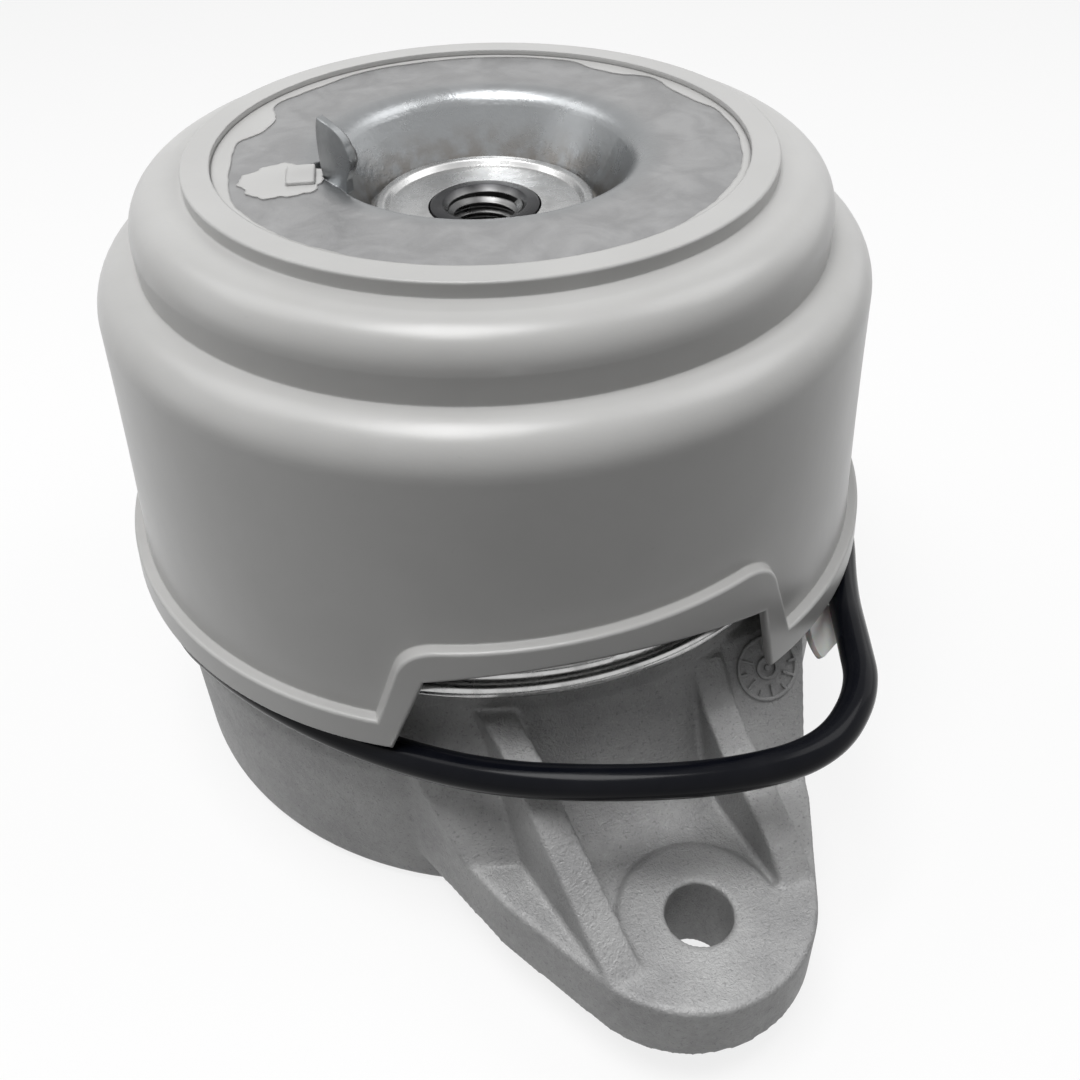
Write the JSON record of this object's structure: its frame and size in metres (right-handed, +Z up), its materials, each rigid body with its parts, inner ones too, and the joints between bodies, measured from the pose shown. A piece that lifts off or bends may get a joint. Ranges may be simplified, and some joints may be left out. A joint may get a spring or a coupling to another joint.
{
  "type": "hydraulic engine mount",
  "caption": "Round hydraulic engine mount with a moulded cap over a steel can, funnel seat with threaded insert, ribbed cast base with a bolt ear, and a breather hose.",
  "frame": {"origin": "on the mount's axis, in the plane of the cast base's flat underside", "axes": "+Z up along the mount's axis towards the threaded insert, -Y from the axis towards the bolt ear, +X to the right when the ear faces the viewer"},
  "size_m": [0.1357, 0.1709, 0.1174],
  "materials": {
    "cap_plastic": "semi-gloss moulded, warm grey",
    "zinc_plate": "zinc plated, satin",
    "bright_steel": "bright turned",
    "dark_steel": "dark phosphated",
    "can_steel": "zinc plated, rolled rim bright",
    "cast_aluminium": "die cast, shot blasted",
    "hose_rubber": "glossy black",
    "natural_nylon": "milky",
    "core_aluminium": "as forged",
    "black_rubber": "moulded",
    "ring_steel": "phosphated",
    "plate_aluminium": "die cast",
    "rivet_steel": "bright",
    "nipple_brass": "turned",
    "clamp_steel": "spring steel"
  },
  "bodies": {
    "root": {"protective_cap": "cap_plastic", "top_plate": "zinc_plate", "seat_washer": "bright_steel", "threaded_insert": "dark_steel", "can": "can_steel", "base_casting": "cast_aluminium", "breather_hose": "hose_rubber", "hose_guide_tab": "natural_nylon", "core": "core_aluminium", "rubber_spring": "black_rubber", "bonding_ring": "ring_steel", "stop_buffer": "black_rubber", "upper_nozzle_plate": "plate_aluminium", "lower_nozzle_plate": "plate_aluminium", "decoupler_membrane": "black_rubber", "plate_seal": "black_rubber", "plate_rivets": "rivet_steel", "bellows": "black_rubber", "bellows_ring": "ring_steel", "air_nipple": "nipple_brass", "vent_nipple": "nipple_brass", "hose_clamps": "clamp_steel"}
  },
  "joints": []
}
